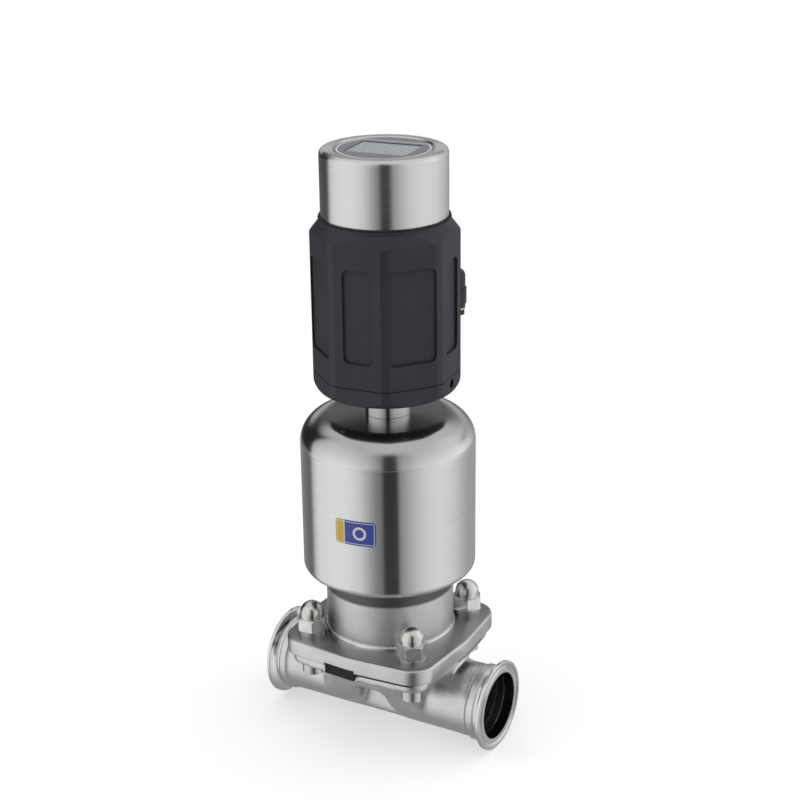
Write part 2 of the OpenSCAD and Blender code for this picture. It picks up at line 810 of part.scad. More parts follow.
// Base cover of the positioner with its vent hole
module positioner_base() {
    foot_round = 8;
    vent_d = 7;
    vent_h = 8;
    color(black_plastic) turned() difference() {
        intersection() {
            rotate_extrude() intersection() {
                translate([0, cover_z]) {
                    translate([0, foot_round]) square([housing_d / 2, cover_h - foot_round]);
                    square([housing_d / 2 - foot_round, cover_h]);
                    translate([housing_d / 2 - foot_round, foot_round]) circle(r = foot_round);
                }
                square([housing_d, housing_z]);
            }
            flat_sides(0, narrow_edge_z);
            flat_sides(45, wide_edge_z);
        }
        difference() {
            translate([0, 0, cover_z + cover_floor]) cylinder(r = inner_r, h = cover_h);
            at_cover_screws() translate([0, 0, cover_z]) cylinder(d = cover_boss_d, h = cover_h + 1);
        }
        translate([0, 0, cover_z - 1]) cylinder(d = top_spigot_d + 2 * slip_gap, h = big);
        at_cover_screws() {
            translate([0, 0, cover_z - 1]) cylinder(d = cover_screw_d + 2 * slip_gap, h = big);
            translate([0, 0, cover_z - 1]) cylinder(d = cover_head_d + 0.6, h = cover_seat + 1);
        }
        translate([0, 0, cover_z + vent_h]) rotate([0, 90, 0]) cylinder(d = vent_d, h = housing_d);
    }
}

// Nut that holds the base cover on the adapter
module base_nut() {
    color(steel) translate([0, 0, cover_z + cover_floor]) difference() {
        hexagon(36, lock_nut_t);
        translate([0, 0, -1]) cylinder(d = top_spigot_d + 2 * slip_gap, h = lock_nut_t + 2);
    }
}

// Screws between base cover and housing
module cover_screws() {
    head_h = 2.6;
    color(steel) turned() at_cover_screws() translate([0, 0, cover_z + cover_seat]) difference() {
        union() {
            translate([0, 0, -head_h]) cylinder(d = cover_head_d, h = head_h);
            translate([0, 0, -1]) cylinder(d = cover_screw_d, h = cover_h - cover_seat + cover_grip + 0.5);
        }
        translate([0, 0, -head_h - 1]) hexagon(2.5, 2.8);
    }
}

// Flat seal between base cover and housing
module cover_seal() {
    color(black_rubber) turned() translate([0, 0, housing_z])
        ring(2 * (flat_at - 0.6), 2 * inner_r, cover_seal_t);
}

module rounded_panel(w, h) {
    square([w - 2 * panel_corner, h], center = true);
    square([w, h - 2 * panel_corner], center = true);
    for (x = [-1, 1], y = [-1, 1])
        translate([x * (w / 2 - panel_corner), y * (h / 2 - panel_corner)]) circle(r = panel_corner);
}

// Moulded housing: flats with wide and narrow panels in turn, a cone and a lip at the top
module positioner_housing() {
    foot = housing_z + cover_seal_t;
    color(black_plastic) turned() difference() {
        union() {
            intersection() {
                rotate_extrude() polygon([
                    [0, foot], [housing_d / 2, foot], [housing_d / 2, cone_z],
                    [lip_r, housing_top - lip_h], [lip_r, housing_top], [0, housing_top]
                ]);
                flat_sides(0, narrow_edge_z);
                flat_sides(45, wide_edge_z);
            }
            translate([0, 0, housing_top - 1]) cylinder(r = spigot_r, h = 9);
            for (lug = [0 : 120 : 240]) rotate([0, 0, lug - lug_span / 2])
                translate([0, 0, lug_z + lug_h + lug_gap]) rotate_extrude(angle = lug_span)
                    translate([spigot_r - 1, 0]) square([cap_in_r - spigot_r + 1 - move_gap, lug_h]);
        }
        difference() {
            translate([0, 0, housing_z - 1]) cylinder(r = inner_r, h = cone_z - housing_z - 4);
            at_cover_screws() translate([0, 0, housing_z]) cylinder(d = cover_boss_d, h = cover_grip + 4);
        }
        at_cover_screws() translate([0, 0, housing_z - 1])
            cylinder(d = cover_screw_d + 2 * slip_gap, h = cover_grip + 1);
        translate([0, 0, housing_z]) cylinder(r = spigot_r - 3, h = big);
        for (i = [0 : 7]) rotate([0, 0, i * 45])
            translate([flat_at - panel_depth, 0, panel_z + panel_h / 2]) rotate([90, 0, 90])
                linear_extrude(housing_d) rounded_panel(i % 2 == 1 ? wide_panel_w : narrow_panel_w, panel_h);
        rotate([0, 90, fit_turn - positioner_turn]) translate([-elbow_z, 0, 0])
            cylinder(d = elbow_stub_d + 2 * slip_gap, h = housing_d);
        rotate([0, 90, connector_turn - positioner_turn]) translate([-connector_z, 0, 0])
            cylinder(d = connector_d + 2 * slip_gap, h = housing_d);
    }
}

module at_pilot_valves() {
    for (x = [-valve_at, valve_at]) translate([x, block_y + block_l / 2, block_z + block_h]) children();
}

// Manifold block of the pilot valves, standing on the base cover
module pilot_block() {
    color([0.7, 0.71, 0.73]) turned() difference() {
        translate([-block_w / 2, block_y, block_z]) cube([block_w, block_l, block_h]);
        at_pilot_valves() translate([0, 0, -12]) cylinder(d = 3, h = 20);
    }
}

// Two pilot solenoids on the manifold
module pilot_valves() {
    coil_h = 26;
    color([0.2, 0.2, 0.22]) turned() at_pilot_valves() {
        cylinder(d = 14, h = coil_h);
        translate([0, 0, coil_h - 1]) cylinder(d = 6, h = 4);
    }
}

// Control board, upright behind the rod
module main_board() {
    color([0.1, 0.35, 0.2]) turned() translate([-30, board_y, block_z]) cube([60, board_t, 92]);
}

// Travel sensor on the control board, beside the magnet
module position_sensor() {
    front = magnet_d / 2 + 1;
    color([0.15, 0.15, 0.16]) turned() translate([-6, front, rod_top - 20])
        cube([12, board_y - front, stroke + 28]);
}

module at_elbow() rotate([0, 0, fit_turn]) translate([elbow_at, 0, 0]) children();

// Push-in elbow: stub in the housing, rounded corner and a leg that points down
module elbow_body() {
    leg_d = air_tube_d + 4.6;
    color(black_plastic) at_elbow() difference() {
        union() {
            translate([0, 0, elbow_z]) rotate([0, -90, 0]) cylinder(d = elbow_stub_d, h = elbow_at - inner_r);
            translate([0, 0, elbow_z]) rotate([0, -90, 0])
                cylinder(d = leg_d, h = elbow_at - flat_at + panel_depth);
            translate([0, 0, elbow_z]) sphere(d = leg_d);
            translate([0, 0, elbow_foot]) cylinder(d = leg_d, h = elbow_leg);
            translate([0, 0, elbow_foot + 3]) cylinder(d = leg_d + 1.6, h = 11);
        }
        translate([0, 0, elbow_foot - 1]) cylinder(d = air_tube_d + 2.2, h = 9);
        translate([0, 0, elbow_foot - 1]) cylinder(d = air_tube_d + 0.1, h = 15);
        translate([0, 0, elbow_foot - 1]) cylinder(d = 3.6, h = elbow_leg);
        translate([0, 0, elbow_z]) rotate([0, -90, 0]) cylinder(d = 3.6, h = big);
    }
}

// Metal ring at the mouth of the fitting
module elbow_ring() {
    color(brass) at_elbow() translate([0, 0, elbow_foot - ring_t])
        ring(air_tube_d + 4, air_tube_d + 2.2, ring_t);
}

// Release sleeve that frees the tube when it is pressed in
module release_sleeve() {
    travel = 1.2;
    flange_z = elbow_foot - ring_t - travel - sleeve_flange;
    color(black_plastic) at_elbow() difference() {
        union() {
            translate([0, 0, flange_z]) cylinder(d = air_tube_d + 3.4, h = sleeve_flange);
            translate([0, 0, flange_z])
                cylinder(d = air_tube_d + 1.5, h = sleeve_flange + travel + ring_t + 4);
        }
        translate([0, 0, flange_z - 1]) cylinder(d = air_tube_d + 0.2, h = 20);
    }
}

// Round threaded connector for the signal cable
module signal_connector() {
    back = inner_r - 2;
    tip = flat_at + 11;
    recess = 3;
    color(steel) rotate([0, 90, connector_turn]) translate([-connector_z, 0, 0]) difference() {
        union() {
            translate([0, 0, back]) cylinder(d = connector_d, h = tip - back);
            translate([0, 0, flat_at - panel_depth]) hexagon(17, 4);
        }
        translate([0, 0, tip - recess]) ring(connector_d - 3.5, connector_d - 6, recess + 1);
    }
}

// Gasket between the housing's lip and the cap
module cap_gasket() {
    color(black_rubber) translate([0, 0, housing_top])
        ring(2 * lip_r - 0.6, 2 * (spigot_r + 0.3), cap_gasket_t - slip_gap);
}

// Turned steel cap with inner lugs, a rounded edge and a stepped window
module positioner_cap() {
    rim_bevel = 0.8;
    color(steel) turned() difference() {
        union() {
            difference() {
                rotate_extrude($fn = 120) {
                    translate([0, cap_z]) square([cap_d / 2, cap_h - cap_edge_r]);
                    translate([0, cap_z]) square([cap_d / 2 - cap_edge_r, cap_h]);
                    translate([cap_d / 2 - cap_edge_r, cap_top - cap_edge_r]) circle(r = cap_edge_r);
                }
                translate([0, 0, cap_z - 1]) cylinder(r = cap_in_r, h = top_plate_z - cap_z + 1);
            }
            for (lug = [0 : 120 : 240]) rotate([0, 0, lug - lug_span / 2])
                translate([0, 0, lug_z]) rotate_extrude(angle = lug_span)
                    translate([spigot_r + move_gap, 0]) square([cap_in_r - spigot_r - move_gap + 1, lug_h]);
        }
        translate([0, 0, window_z]) cylinder(d = window_d, h = 10);
        translate([0, 0, top_plate_z - 1]) cylinder(r = window_ledge_r, h = 10);
        translate([0, 0, cap_top - rim_bevel])
            cylinder(d1 = window_d, d2 = window_d + 2 * rim_bevel, h = rim_bevel + eps);
    }
}

// Clear lens in the cap's step
module window_lens() {
    color([0.8, 0.88, 0.9, 0.4]) translate([0, 0, window_z])
        cylinder(d = window_d - 2 * slip_gap, h = lens_t);
}

// Printed film on the lens, open over the display
module display_label() {
    color([0.25, 0.28, 0.34]) turned() translate([0, 0, window_z + lens_t]) difference() {
        cylinder(d = window_d - 1, h = 0.3);
        translate([-lcd_w / 2, -lcd_l / 2, -1]) cube([lcd_w, lcd_l, 3]);
    }
}

// Display panel under the lens
module lcd_panel() {
    color([0.62, 0.66, 0.7]) turned() translate([-lcd_w / 2, -lcd_l / 2, top_plate_z - foam_t])
        cube([lcd_w, lcd_l, window_z - top_plate_z + foam_t]);
}

// Foam ring between the display board and the cap
module display_foam() {
    color(black_rubber) translate([0, 0, top_plate_z - foam_t])
        ring(2 * (cap_in_r - 1), 2 * (window_ledge_r + 0.5), foam_t);
}

// Round board that carries the display panel
module display_board() {
    color([0.1, 0.35, 0.2]) translate([0, 0, top_plate_z - foam_t - board_t])
        cylinder(r = cap_in_r - 0.5, h = board_t);
}

lift() valve_body();
lift() diaphragm();
lift() diaphragm_stud();
lift() compressor();
lift() compressor_pin();
lift() bonnet();
lift() flange_bolts();
lift() lock_washers();
lift() dome_nuts();
lift() spindle();
lift() guide_bush();
lift() spindle_seal();
lift() actuator_base();
lift() base_screws();
lift() base_seal();
lift() actuator_shell();
lift() piston();
lift() piston_seal();
lift() piston_nut();
lift() spring_plate();
lift() outer_spring();
lift() inner_spring();
lift() neck_adapter();
lift() adapter_nut();
lift() feedback_rod();
lift() sensor_magnet();
lift() positioner_base();
lift() base_nut();
lift() cover_screws();
lift() cover_seal();
lift() positioner_housing();
lift() pilot_block();
lift() pilot_valves();
lift() main_board();
lift() position_sensor();
lift() elbow_body();
lift() elbow_ring();
lift() release_sleeve();
lift() signal_connector();
lift() cap_gasket();
lift() positioner_cap();
lift() window_lens();
lift() display_label();
lift() lcd_panel();
lift() display_foam();
lift() display_board();
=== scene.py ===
import math

import bmesh
import bpy
from mathutils import Matrix, Vector


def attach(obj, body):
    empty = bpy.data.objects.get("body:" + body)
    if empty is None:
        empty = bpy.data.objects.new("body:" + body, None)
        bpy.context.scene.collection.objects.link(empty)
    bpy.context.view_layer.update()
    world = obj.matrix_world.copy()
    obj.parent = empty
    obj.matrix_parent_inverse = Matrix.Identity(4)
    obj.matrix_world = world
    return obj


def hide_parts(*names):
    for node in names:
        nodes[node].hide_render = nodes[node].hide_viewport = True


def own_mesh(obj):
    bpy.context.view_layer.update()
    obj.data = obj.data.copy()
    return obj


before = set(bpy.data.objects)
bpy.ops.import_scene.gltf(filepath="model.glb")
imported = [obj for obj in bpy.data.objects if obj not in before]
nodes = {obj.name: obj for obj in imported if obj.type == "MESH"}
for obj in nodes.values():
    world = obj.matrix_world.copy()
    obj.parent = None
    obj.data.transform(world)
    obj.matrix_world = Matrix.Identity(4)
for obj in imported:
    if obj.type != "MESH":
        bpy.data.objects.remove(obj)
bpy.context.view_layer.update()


# Camera: a long lens a little above the valve, turned about thirty degrees to the pipe.
# The ferrule's rim, the shell's outline and the window's edge fix its place and lens.
camera_turn, camera_rise, camera_roll = map(math.radians, (29.97, 20.77, -0.70))
camera_distance, aim_right, aim_height = 1.19804, 0.00861, 0.2462
camera_aim = Vector((
    math.cos(camera_turn) * aim_right,
    math.sin(camera_turn) * aim_right,
    aim_height,
))
camera_back = Vector((
    math.sin(camera_turn) * math.cos(camera_rise),
    -math.cos(camera_turn) * math.cos(camera_rise),
    math.sin(camera_rise),
))
level_right = Vector((math.cos(camera_turn), math.sin(camera_turn), 0))
level_up = camera_back.cross(level_right)
camera_right = level_right * math.cos(camera_roll) + level_up * math.sin(camera_roll)
camera_data = bpy.data.cameras.new("camera")
camera_data.sensor_width, camera_data.lens = 36, 78.865
camera = bpy.data.objects.new("camera", camera_data)
camera.matrix_world = Matrix.Translation(camera_aim + camera_back * camera_distance) @ Matrix(
    (camera_right, camera_back.cross(camera_right), camera_back)
).transposed().to_4x4()
bpy.context.scene.collection.objects.link(camera)
bpy.context.scene.camera = camera
bpy.context.scene.view_settings.view_transform = "Standard"


# Studio: two tall soft panels left and right of the camera with a dark gap between them, a soft
# box overhead, a pale wall behind and a dim ground. The picture's background is plain white.
class Wire:
    """One socket of a node tree. Arithmetic on it adds Math nodes."""

    def __init__(self, tree, socket=None):
        self.tree, self.socket = tree, socket

    def node(self, kind, settings=None, inputs=None, output=0):
        """Adds a node, sets it up, feeds its sockets and returns one of its outputs, if any."""
        node = self.tree.nodes.new(kind)
        for name, value in (settings or {}).items():
            if name == "stops":
                ramp = node.color_ramp.elements
                while len(ramp) < len(value):
                    ramp.new(1)
                for stop, (place, level) in zip(ramp, value):
                    stop.position, stop.color = place, (level, level, level, 1)
            else:
                setattr(node, name, value)
        for name, value in (inputs or {}).items():
            if isinstance(value, Wire):
                self.tree.links.new(value.socket, node.inputs[name])
            else:
                node.inputs[name].default_value = value
        return Wire(self.tree, node.outputs[output] if node.outputs else None)

    def maths(self, operation, *values):
        return self.node("ShaderNodeMath", {"operation": operation}, dict(enumerate(values)))

    def __add__(self, other):
        return self.maths("ADD", self, other)

    def __sub__(self, other):
        return self.maths("SUBTRACT", self, other)

    def __rsub__(self, other):
        return self.maths("SUBTRACT", other, self)

    def __mul__(self, other):
        return self.maths("MULTIPLY", self, other)

    def __truediv__(self, other):
        return self.maths("DIVIDE", self, other)

    def __abs__(self):
        return self.maths("ABSOLUTE", self)

    def root(self):
        return self.maths("SQRT", self)

    def larger(self, other):
        return self.maths("MAXIMUM", self, other)

    def between(self, low, high):
        """0 at low and below, 1 at high and above, smooth in between."""
        return self.node(
            "ShaderNodeMapRange", {"interpolation_type": "SMOOTHSTEP"},
            {"Value": self, "From Min": low, "From Max": high},
        )

    def tint(self, low, high):
        """A colour that goes from low to high as this value goes from 0 to 1."""
        return self.node("ShaderNodeMix", {"data_type": "RGBA"}, {
            0: self,
            6: low if isinstance(low, Wire) else (*low, 1),
            7: high if isinstance(high, Wire) else (*high, 1),
        }, 2)

    def dot(self, direction):
        return self.node(
            "ShaderNodeVectorMath", {"operation": "DOT_PRODUCT"}, {0: self, 1: direction}, "Value",
        )

    def into(self, node, name):
        self.tree.links.new(self.socket, node.inputs[name])

    __radd__, __rmul__ = __add__, __mul__


world = bpy.data.worlds.new("studio")
bpy.context.scene.world = world
world.use_nodes = True
world.node_tree.nodes.clear()
sight = Wire(world.node_tree).node("ShaderNodeTexCoord")
to_right = sight.dot(tuple(level_right))
to_camera = sight.dot((math.sin(camera_turn), -math.cos(camera_turn), 0))
height = sight.dot((0, 0, 1))
turn = to_right.maths("ARCTAN2", to_right, to_camera) / (2 * math.pi) + 0.5
low_panels = sight.node("ShaderNodeValToRGB", {"stops": [
    (0.0, 0.36), (0.05, 0.30), (0.10, 0.22), (0.150, 0.16), (0.160, 0.15), (0.173, 0.62),
    (0.205, 0.92), (0.24, 0.93), (0.283, 0.98), (0.339, 0.97), (0.389, 0.80), (0.424, 0.48),
    (0.451, 0.26), (0.4780, 0.15), (0.4815, 0.02), (0.5345, 0.02), (0.5385, 0.27), (0.56, 0.40),
    (0.594, 0.62), (0.644, 0.84), (0.697, 0.94), (0.756, 0.80), (0.792, 0.64), (0.833, 0.46),
    (0.883, 0.40), (1.0, 0.36),
]}, {0: turn})
high_panels = sight.node("ShaderNodeValToRGB", {"stops": [
    (0.0, 0.12), (0.10, 0.03), (0.180, 0.015), (0.187, 0.62), (0.22, 0.88), (0.272, 0.98),
    (0.36, 0.95), (0.419, 0.74), (0.458, 0.44), (0.4775, 0.30), (0.482, 0.03), (0.528, 0.03),
    (0.534, 0.30), (0.549, 0.46), (0.616, 0.78), (0.689, 0.90), (0.796, 1.05), (0.86, 0.80),
    (0.913, 0.50), (0.96, 0.25), (1.0, 0.12),
]}, {0: turn})
overhead_light, wall_light, ground_light = 0.80, 0.60, 0.34
overhead = (height + to_camera.between(-0.1, -0.6) * 0.16).between(0.58, 0.86)
ground = height.between(-0.45, -0.90)
wall_strip = height.between(0.04, 0.12) * height.between(0.33, 0.26)
back_wall = wall_strip * to_camera.between(-0.20, -0.55) * to_right.between(-0.62, -0.30)
panels = low_panels + (high_panels - low_panels) * height.between(-0.33, -0.18)
panels = panels + (wall_light - panels) * back_wall
light = panels + (overhead_light - panels) * overhead + (ground_light - panels) * ground
seen = sight.node("ShaderNodeLightPath", output="Is Camera Ray")
studio_light = sight.node("ShaderNodeBackground", None, {"Color": (1, 1, 1, 1), "Strength": light})
backdrop = sight.node("ShaderNodeBackground", None, {"Color": (1, 1, 1, 1), "Strength": 1})
sky = sight.node("ShaderNodeMixShader", None, {0: seen, 1: studio_light, 2: backdrop})
sky.node("ShaderNodeOutputWorld", None, {"Surface": sky})


# Floor: a wide pale disc under the ferrules that fades out into the white background.
# Mirror rays pass through it, so that bright metal shows the panels and not the floor.
def new_piece(name, shape, smooth=True):
    """Turns a finished bmesh into an object at the origin."""
    mesh = bpy.data.meshes.new(name)
    shape.to_mesh(mesh)
    shape.free()
    mesh.polygons.foreach_set("use_smooth", [smooth] * len(mesh.polygons))
    piece = bpy.data.objects.new(name, mesh)
    bpy.context.scene.collection.objects.link(piece)
    return piece


floor_glow, fade_from, fade_to = 0.40, 0.16, 0.60
shape = bmesh.new()
bmesh.ops.create_circle(shape, cap_ends=True, segments=96, radius=2.2)
floor = new_piece("floor", shape)
floor_paint = bpy.data.materials.new("floor_paint")
floor_paint.use_nodes = True
floor_paint.node_tree.nodes.clear()
place = Wire(floor_paint.node_tree).node("ShaderNodeTexCoord", output="Object")
away = place.node("ShaderNodeVectorMath", {"operation": "LENGTH"}, {0: place}, "Value")
mirrored = place.node("ShaderNodeLightPath", output="Is Glossy Ray")
seen = place.node("ShaderNodeLightPath", output="Is Camera Ray")
clear = place.node("ShaderNodeBsdfTransparent")
matt = place.node("ShaderNodeBsdfDiffuse", None, {"Color": (0.93, 0.93, 0.93, 1)})
white = place.node("ShaderNodeEmission", None, {
    "Color": (1, 1, 1, 1), "Strength": seen * floor_glow,
})
pale = place.node("ShaderNodeAddShader", None, {0: matt, 1: white})
gone = away.between(fade_from, fade_to).larger(mirrored)
floor_mix = place.node("ShaderNodeMixShader", None, {0: gone, 1: pale, 2: clear})
floor_mix.node("ShaderNodeOutputMaterial", None, {"Surface": floor_mix})
floor.data.materials.append(floor_paint)


# Cast body: stainless steel, cast and bead-blasted, with its two tubes smoothed by hand.
# The clamp ferrules are turned and polished, so the blasted skin stops at a weld collar.
# A shallow seat in the flange's front side takes the diaphragm's tab.
def start_finish(name, constants):
    """A material, its Principled shader with the even values set, and its Object coordinates."""
    material = bpy.data.materials.new(name)
    material.use_nodes = True
    shader = material.node_tree.nodes["Principled BSDF"]
    for socket, value in constants.items():
        shader.inputs[socket].default_value = value
    return material, shader, Wire(material.node_tree).node("ShaderNodeTexCoord", output="Object")


def coat(material, *names):
    """Gives CAD nodes a finish in place of the one they were packed with."""
    for name in names:
        mesh = nodes[name].data
        mesh.materials.clear()
        mesh.materials.append(material)


def noise(place, scale, detail=2.0, stretch=None):
    """Soft random values from 0 to 1, drawn out along an axis by a stretch."""
    if stretch:
        place = place.node("ShaderNodeMapping", None, {"Vector": place, "Scale": stretch})
    return place.node("ShaderNodeTexNoise", None, {
        "Vector": place, "Scale": scale, "Detail": detail,
    })


def axes(place):
    """The x, y and z values of a place."""
    return [place.dot(tuple(float(i == k) for i in range(3))) for k in range(3)]


def relief(shader, place, height_map, strength, depth, edge=0.0):
    """Feeds a shader's normal with small relief, over edges rounded by a radius."""
    inputs = {"Strength": strength, "Distance": depth, "Height": height_map}
    if edge:
        inputs["Normal"] = place.node("ShaderNodeBevel", {"samples": 6}, {"Radius": edge})
    place.node("ShaderNodeBump", None, inputs).into(shader, "Normal")


pipe_z, weld_x, tube_inside, flange_under = 0.032, 0.0731, 0.0232, 0.0556
notch_foot, notch_lean, notch_roof = 0.0222, 0.271, 0.0377
body_finish, shader, place = start_finish("blasted_body", {"Metallic": 1.0})
x, y, z = axes(place)
ferrule = abs(x).between(0.0792, 0.0797)
collar_line = abs(abs(x) - 0.0736).between(0.0009, 0.0003)
in_tube = (y * y + (z - pipe_z) * (z - pipe_z)).between(0.0241 ** 2, 0.0239 ** 2)
beside_notch = (abs(x) + z * notch_lean).between(notch_foot - 0.0003, notch_foot + 0.0003)
above_notch = z.between(notch_roof - 0.0003, notch_roof + 0.0003)
painted_bore_shade = in_tube * beside_notch.larger(above_notch)
patches = noise(place, 42, 4)
grain = noise(place, 1400, 2)
tone = (patches * 0.7 + grain * 0.3).between(0.30, 0.72)
blasted = tone.tint((0.61, 0.61, 0.615), (0.76, 0.76, 0.765))
skin_tone = ferrule.tint(blasted, (0.76, 0.76, 0.76))
# Painted shade: the inside of the tubes is coloured dark grey.
painted_bore_shade.tint(skin_tone, (0.36, 0.36, 0.37)).into(shader, "Base Color")
rough = 0.21 + patches * 0.09 + grain * 0.08 + collar_line * 0.10
(rough * (1 - ferrule) + (0.12 + patches * 0.07) * ferrule).into(shader, "Roughness")
dimples = noise(place, 980, 2)
relief(shader, place, (grain + dimples * 2.4) * (1 - ferrule), 0.5, 0.00016, 0.0009)
coat(body_finish, "valve_body")


def whole(shape):
    """Everything in a bmesh, as one list."""
    return shape.verts[:] + shape.edges[:] + shape.faces[:]


def only_verts(geometry):
    """The vertices in a list that a bmesh operator gives back."""
    return [part for part in geometry if isinstance(part, bmesh.types.BMVert)]


def merged_copy(name):
    """A CAD node's mesh as one closed surface, to work on."""
    shape = bmesh.new()
    shape.from_mesh(nodes[name].data)
    bmesh.ops.remove_doubles(shape, verts=shape.verts, dist=1e-6)
    return shape


def worked_shape(piece, *tools):
    """The shape of a working object after its modifiers. The object and its tools are removed."""
    shape = bmesh.new()
    shape.from_object(piece, bpy.context.evaluated_depsgraph_get())
    for used in (piece, *tools):
        bpy.data.objects.remove(used)
    return shape


def mark_creases(shape):
    """Keeps an edge crisp where its faces turn by more than 32 degrees."""
    for edge in shape.edges:
        edge.smooth = edge.calc_face_angle(0) < math.radians(32)


def cut_at_welds(shape, keep_middle):
    """Cuts a body at both welds, keeps its middle or its ends, and closes the cut rings."""
    for side in (1, -1):
        bmesh.ops.bisect_plane(
            shape, geom=whole(shape), dist=1e-7,
            plane_co=(side * weld_x, 0, 0), plane_no=(side, 0, 0),
        )
    bmesh.ops.delete(shape, context="FACES", geom=[
        face for face in shape.faces if (abs(face.calc_center_median().x) < weld_x) != keep_middle
    ])
    for side in (1, -1):
        bmesh.ops.bridge_loops(shape, edges=[
            edge for edge in shape.edges if edge.is_boundary and edge.verts[0].co.x * side > 0
        ])
    bmesh.ops.recalc_face_normals(shape, faces=shape.faces)


def add_block(shape, low, high, turn=0.0):
    """Adds a box between two corners, turned about an upright line through its middle."""
    bmesh.ops.create_cube(shape, matrix=(
        Matrix.Translation((low + high) / 2) @ Matrix.Rotation(turn, 4, "Z")
        @ Matrix.Diagonal((*(high - low), 1))
    ))


side_turn = math.radians(-3.7)
seat_low, seat_high = Vector((-0.0215, -0.0562, 0.0572)), Vector((0.0035, -0.0515, 0.0594))
shape = merged_copy("valve_body")
add_block(shape, seat_low, seat_high, side_turn)
rough_casting = new_piece("rough_casting", shape)
skin = rough_casting.modifiers.new("skin", "REMESH")
skin.mode, skin.voxel_size = "VOXEL", 0.0011
shape = worked_shape(rough_casting)
blend_reach, chamber_floor, chamber_radius, notch_top = 0.066, 0.035, 0.040, 0.030
blends = []
for vert in shape.verts:
    spoke = Vector((0, vert.co.y, vert.co.z - pipe_z))
    under_flange = vert.co.z < flange_under and abs(vert.co.x) < blend_reach
    in_chamber = vert.co.z > chamber_floor and math.hypot(vert.co.x, vert.co.y) < chamber_radius
    in_notch = vert.co.z < notch_top and vert.normal.z < 0.3
    faces_out = vert.normal.dot(spoke.normalized()) > -0.35
    if under_flange and faces_out and not in_chamber and (spoke.length > tube_inside or in_notch):
        blends.append(vert)
all_rounds, blend_rounds = 4, 44
for verts, rounds in ((shape.verts[:], all_rounds), (blends, blend_rounds)):
    for _ in range(rounds):
        bmesh.ops.smooth_vert(
            shape, verts=verts, factor=0.5, use_axis_x=True, use_axis_y=True, use_axis_z=True,
        )
cut_at_welds(shape, keep_middle=True)
ends = merged_copy("valve_body")
cut_at_welds(ends, keep_middle=False)
end_mesh = bpy.data.meshes.new("ferrule_ends")
ends.to_mesh(end_mesh)
ends.free()
shape.from_mesh(end_mesh)
bpy.data.meshes.remove(end_mesh)
mark_creases(shape)
casting = new_piece("body_casting", shape)
casting.data.materials.append(body_finish)
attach(casting, "body")
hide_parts("valve_body")


# Diaphragm: moulded black rubber between body and bonnet, in rim, lip, tab and dish. Its rim and
# lip show in the slit, and its tab stands in a notch at the front.
rubber_finish, shader, place = start_finish("diaphragm_rubber", {"Specular IOR Level": 0.35})
bloom = noise(place, 90, 3)
dusty = bloom.between(0.3, 0.75)
dusty.tint((0.010, 0.010, 0.011), (0.030, 0.030, 0.034)).into(shader, "Base Color")
(0.55 + bloom * 0.2).into(shader, "Roughness")
relief(shader, place, noise(place, 2600, 2), 0.25, 0.0001)

rim_low = 0.0630
shape = merged_copy("diaphragm")
bmesh.ops.bisect_plane(
    shape, geom=whole(shape), dist=1e-7,
    plane_co=(0, 0, rim_low + 2e-5), plane_no=(0, 0, 1), clear_inner=True,
)
bmesh.ops.holes_fill(shape, edges=[edge for edge in shape.edges if edge.is_boundary], sides=0)
bmesh.ops.recalc_face_normals(shape, faces=shape.faces)
rim = new_piece("diaphragm_rim", shape, smooth=False)

tab_low, tab_high = Vector((-0.0186, -0.0605, 0.0594)), Vector((0.0054, -0.0575, 0.0671))
shape = bmesh.new()
add_block(shape, tab_low, tab_high, side_turn)
front = [face for face in shape.faces if face.normal.y < -0.9]
bmesh.ops.inset_region(shape, faces=front, thickness=0.0010, depth=0)
bmesh.ops.inset_region(shape, faces=front, thickness=0.0004, depth=-0.0005)
bmesh.ops.bevel(
    shape, geom=shape.edges[:], offset=0.00018,
    affect="EDGES", segments=2, profile=0.5, material=-1,
)
tab = new_piece("diaphragm_tab", shape)

lip_low, lip_high, lip_inside, bolt_reach = 0.0637, 0.06535, 0.935, 0.0405
shape = bmesh.new()
start = shape.verts.new((0.0030, -0.0607, lip_low))
corner = shape.verts.new((0.0418, -0.0576, lip_low))
shape.edges.new((start, corner))
bmesh.ops.spin(
    shape, geom=[corner], cent=(bolt_reach, -bolt_reach, 0), axis=(0, 0, 1),
    angle=math.radians(26), steps=8,
)
side_front = shape.verts.new((0.0602, -0.0095, lip_low))
side_back = shape.verts.new((0.0590, 0.0275, lip_low))
side_middle = shape.verts.new((0.0605, 0.0040, lip_low))
shape.edges.new((side_front, side_middle))
shape.edges.new((side_middle, side_back))
inner = bmesh.ops.extrude_edge_only(shape, edges=shape.edges[:])["geom"]
bmesh.ops.scale(shape, vec=(lip_inside, lip_inside, 1), verts=only_verts(inner))
bmesh.ops.recalc_face_normals(shape, faces=shape.faces)
top = bmesh.ops.extrude_face_region(shape, geom=shape.faces[:], use_keep_orig=True)["geom"]
bmesh.ops.translate(shape, vec=(0, 0, lip_high - lip_low), verts=only_verts(top))
bmesh.ops.remove_doubles(shape, verts=shape.verts, dist=1e-6)
far_half = bmesh.ops.duplicate(shape, geom=whole(shape))["geom"]
bmesh.ops.rotate(
    shape, cent=(0, 0, 0), matrix=Matrix.Rotation(math.pi, 3, "Z"), verts=only_verts(far_half),
)
bmesh.ops.recalc_face_normals(shape, faces=shape.faces)
lip = new_piece("diaphragm_lip", shape, smooth=False)

